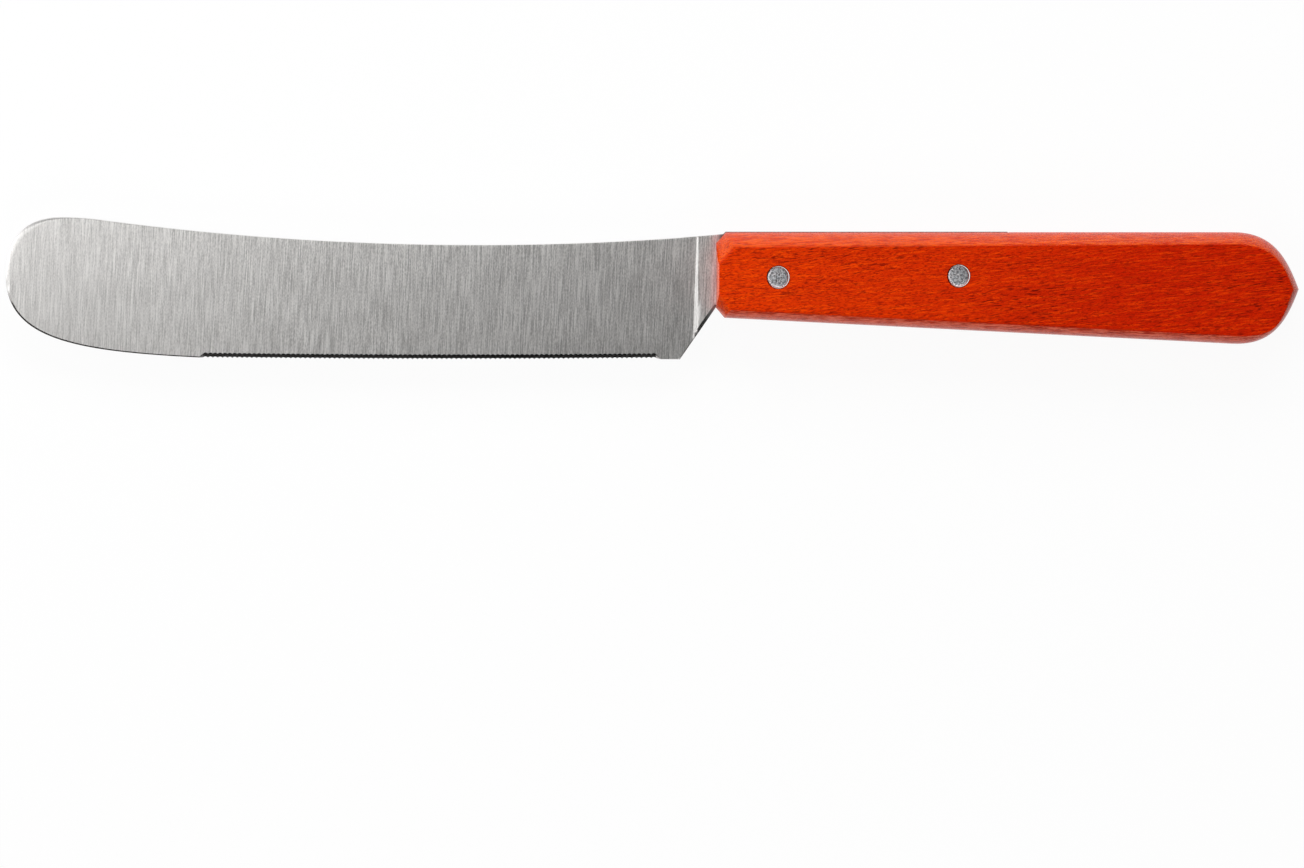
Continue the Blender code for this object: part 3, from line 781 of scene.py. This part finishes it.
def beech(origin):
    """Beech with short dark flecks under a clear red-orange stain, with darker lines inside the
    flat's arrises, and painted light and sheen on its front and rounded sides.
    """
    s = Shader("stained_beech")
    x, y, _ = s.count_from(origin)
    sway = s.noise(s.mapped((40, 140, 140)), detail=1)
    moved = s.vector("ADD", s.place, s.vector("SCALE", (0.0, GRAIN_SWAY, GRAIN_SWAY), sway))
    slant = (0, 0, GRAIN_SLANT)
    flecks = s.noise(s.mapped((620, 4800, 4800), slant, moved), detail=1, roughness=0.5)
    pores = s.noise(s.mapped((1500, 6400, 6400), slant, moved), detail=2, roughness=0.75)
    fibres = s.noise(s.mapped((220, 3600, 3600), slant, moved), detail=3, roughness=0.65)
    broad = s.noise(s.mapped((35, 260, 260), vector=moved), detail=2)
    sanding = s.noise(s.mapped((330, 3400, 3400), vector=moved), detail=3, roughness=0.75)
    rearward = s.span(x, 0.0043, 0.0693)
    colour = s.mix(s.span(broad, 0.3, 0.7, 0, 0.30), s.mix(rearward, *BEECH_BASE), BEECH_BROAD)
    colour = s.mix(s.span(fibres, 0.50, 0.62, 0, 0.75), colour, s.mix(rearward, *BEECH_BRIGHT))
    colour = s.mix(s.span(pores, 0.50, 0.63, 0, 0.82), colour, BEECH_PORES)
    dark = s.times(s.span(flecks, 0.56, 0.69), s.span(broad, 0.35, 0.60, 0.35, 1.0))
    colour = s.mix(s.times(dark, 0.95), colour, BEECH_FLECKS)

    # Darker lines just inside the flat, along its upper and lower arrises.
    upper = s.math("ADD", s.times(x, UPPER_ARRIS_LINE[1] / BUTT_X), UPPER_ARRIS_LINE[0])
    lower = s.math("ADD", s.times(x, (FRONT_DROP - REAR_DROP) / BUTT_X), LOWER_ARRIS_LINE - FRONT_DROP)
    upper = s.span(s.math("ABSOLUTE", s.math("SUBTRACT", y, upper)), *ARRIS_LINE_EDGES, 0, 0.45)
    lower = s.span(s.math("ABSOLUTE", s.math("SUBTRACT", y, lower)), *ARRIS_LINE_EDGES)
    arris_lines = s.times(s.math("MAXIMUM", upper, lower), s.span(fibres, 0.42, 0.58))
    arris_lines = s.times(arris_lines, s.span(x, BUTT_X, BUTT_X - 0.004, 0, 0.55))
    colour = s.mix(arris_lines, colour, BEECH_ARRIS_LINES)

    facing = s.normal()
    level = s.math("ABSOLUTE", facing[2])
    rounded = s.times(s.span(level, 0.97, 0.80), s.span(level, 0.06, 0.40, 0.35, 1.0))
    # Lighter rounded sides: partly sanded wear, partly a painted sheen that is stronger on the
    # upper side, where the light falls.
    worn_and_sheen = s.times(rounded, s.span(sanding, 0.42, 0.58, 0.1, 0.9),
                   s.span(facing[1], -0.4, 0.1, 0.5, 1.0))
    colour = s.mix(worn_and_sheen, colour, BEECH_WORN_AND_SHEEN)
    # Painted light: the steep front face is made lighter and pinker.
    front = s.times(s.span(level, 0.04, 0.25), s.span(facing[0], -0.70, -0.80))
    colour = s.mix(front, colour, BEECH_FRONT_PAINTED_LIGHT)
    # Painted sheen: the rounded lower side is made lighter and pinker, in a sanded pattern.
    under = s.times(rounded, s.span(facing[1], -0.35, -0.65), s.span(facing[0], -0.45, -0.20),
                    s.span(sanding, 0.40, 0.60, 0.05, 1.0))
    colour = s.mix(under, colour, BEECH_UNDER_PAINTED_SHEEN)
    colour = s.mix(s.times(rounded, s.span(sanding, 0.52, 0.40, 0, 0.40)), colour, BEECH_SUNK)

    hollows = s.math("ADD", dark, s.times(rounded, s.span(sanding, 0.3, 0.7, 16.0, 0.0)))
    relief = s.math("SUBTRACT", s.times(fibres, 0.5), hollows)
    return s.finish(Base_Color=colour, Roughness=s.span(flecks, 0.3, 0.7, 0.24, 0.32), IOR=1.22,
                    Normal=s.bump(relief, RELIEF_DEPTH, 0.5))


def aluminium():
    """Aluminium with the pits and smears of a peened and sanded pin."""
    s = Shader("peened_aluminium")
    grit = s.noise(s.mapped((3800, 3800, 3800)), detail=2, roughness=0.65)
    patches = s.noise(s.mapped((1100, 1100, 1100)), detail=2, roughness=0.5)
    hue = s.noise(s.mapped((1900, 1900, 1900), (0.3, 0.2, 0.9)), detail=1)
    pits = s.add("ShaderNodeTexVoronoi", {"Vector": s.place, "Scale": 1500.0}).outputs["Distance"]
    tint = s.mix(s.span(grit, 0.38, 0.55), PIN_LOW, PIN_HIGH)
    tint = s.mix(s.span(patches, 0.42, 0.58, 0, 0.35), tint, PIN_PATCHES)
    tint = s.mix(s.span(hue, 0.40, 0.60, 0, 0.30), tint, PIN_BLUISH)
    tint = s.mix(s.span(pits, 0.22, 0.08, 0, 0.6), tint, PIN_PITS)
    relief = s.math("ADD", grit, s.times(pits, 0.6))
    return s.finish(Base_Color=tint, Metallic=1.0, Roughness=s.span(grit, 0.3, 0.7, 0.40, 0.55),
                    Normal=s.bump(relief, PIN_RELIEF_DEPTH, 0.6))


def floor_paper():
    """White paper, which stays white where it is seen and keeps a share of the shadow."""
    s = Shader("white_floor")
    grain = s.noise(s.mapped((400, 400, 400)), detail=2)
    paper = s.finish(Base_Color=s.mix(s.span(grain, 0.3, 0.7), *PAPER), Roughness=0.9,
                     Specular_IOR_Level=0.0)
    path = s.add("ShaderNodeLightPath").outputs
    seen = s.math("MAXIMUM", path["Is Camera Ray"],
                  s.math("MAXIMUM", path["Is Glossy Ray"], path["Is Transmission Ray"]))
    glow = s.add("ShaderNodeEmission", {"Color": (1, 1, 1), "Strength": 1.0})
    share = s.add("ShaderNodeMixShader", {
        0: s.times(seen, FLOOR_WHITENESS), 1: s.shader.outputs[0], 2: glow.outputs[0],
    })
    s.put(s.tree.nodes["Material Output"].inputs["Surface"], share.outputs[0])
    return paper


def add_floor():
    bm = bmesh.new()
    bmesh.ops.create_grid(bm, x_segments=2, y_segments=2, size=FLOOR_SIZE)
    floor = mesh_object("floor", bm)
    floor.data.materials.append(floor_paper())


def add_softbox(name, place, target, size, radiance, mirrored):
    """A rectangular lamp that faces a point, with its brightness as a radiance."""
    lamp = bpy.data.lights.new(name, "AREA")
    lamp.shape = "RECTANGLE"
    lamp.size, lamp.size_y = size
    lamp.energy = radiance * math.pi * size[0] * size[1]
    obj = bpy.data.objects.new(name, lamp)
    obj.location = place
    obj.rotation_euler = (Vector(target) - Vector(place)).to_track_quat("-Z", "Y").to_euler()
    obj.visible_camera = False
    obj.visible_glossy = mirrored
    bpy.context.scene.collection.objects.link(obj)


def add_world():
    """A white tent, dark overhead, and with a dark screen low on the cutting edge's side."""
    world = bpy.data.worlds.new("studio")
    world.use_nodes = True
    tree = world.node_tree
    split = tree.nodes.new("ShaderNodeSeparateXYZ")
    tree.links.new(tree.nodes.new("ShaderNodeTexCoord").outputs["Generated"], split.inputs[0])

    def ramp(start, end, low, high):
        node = tree.nodes.new("ShaderNodeMapRange")
        node.interpolation_type = "SMOOTHSTEP"
        keys = ("From Min", "From Max", "To Min", "To Max")
        for key, value in zip(keys, (start, end, low, high)):
            node.inputs[key].default_value = value
        tree.links.new(split.outputs["Y"], node.inputs["Value"])
        return node.outputs[0]

    strength = tree.nodes.new("ShaderNodeMath")
    strength.operation = "MULTIPLY"
    tree.links.new(ramp(*TENT_WALL), strength.inputs[0])
    tree.links.new(ramp(*TENT_SCREEN), strength.inputs[1])
    sky = tree.nodes["Background"]
    tree.links.new(strength.outputs[0], sky.inputs["Strength"])
    sky.inputs["Color"].default_value = (1, 1, 1, 1)
    bpy.context.scene.world = world


def add_camera(origin):
    camera = bpy.data.cameras.new("camera")
    camera.type = "ORTHO"
    camera.ortho_scale = FRAME_WIDTH
    camera.clip_start, camera.clip_end = 0.01, 10
    obj = bpy.data.objects.new("camera", camera)
    obj.location = (origin.x - LOOK_AT_AHEAD, origin.y - LOOK_AT_BELOW, CAMERA_HEIGHT)
    bpy.context.scene.collection.objects.link(obj)
    bpy.context.scene.camera = obj


def settle(piece, origin, node, material):
    """Sets a piece down where its solid lies and gives it its finish."""
    for vert in piece.data.vertices:
        vert.co += origin
    piece.data.materials.clear()
    piece.data.materials.append(material)
    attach(piece, "root")
    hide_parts(node)


def main():
    for obj in list(bpy.data.objects):
        bpy.data.objects.remove(obj)
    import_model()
    bpy.context.scene.view_settings.view_transform = "Standard"
    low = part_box("blade")[0]
    origin = Vector((low.x + BLADE_LENGTH, low.y - EDGE_Y, HALF_HANDLE))
    add_camera(origin)
    settle(make_blade(), origin, "blade", steel(origin))
    settle(make_handle(), origin, "handle", beech(origin))
    metal = aluminium()
    for name, place in zip(("rivet_front", "rivet_rear"), RIVETS):
        settle(make_rivet(name + "_peened", place), origin, name, metal)
    add_floor()
    add_world()
    for lamp in LAMPS:
        add_softbox(*lamp)


main()
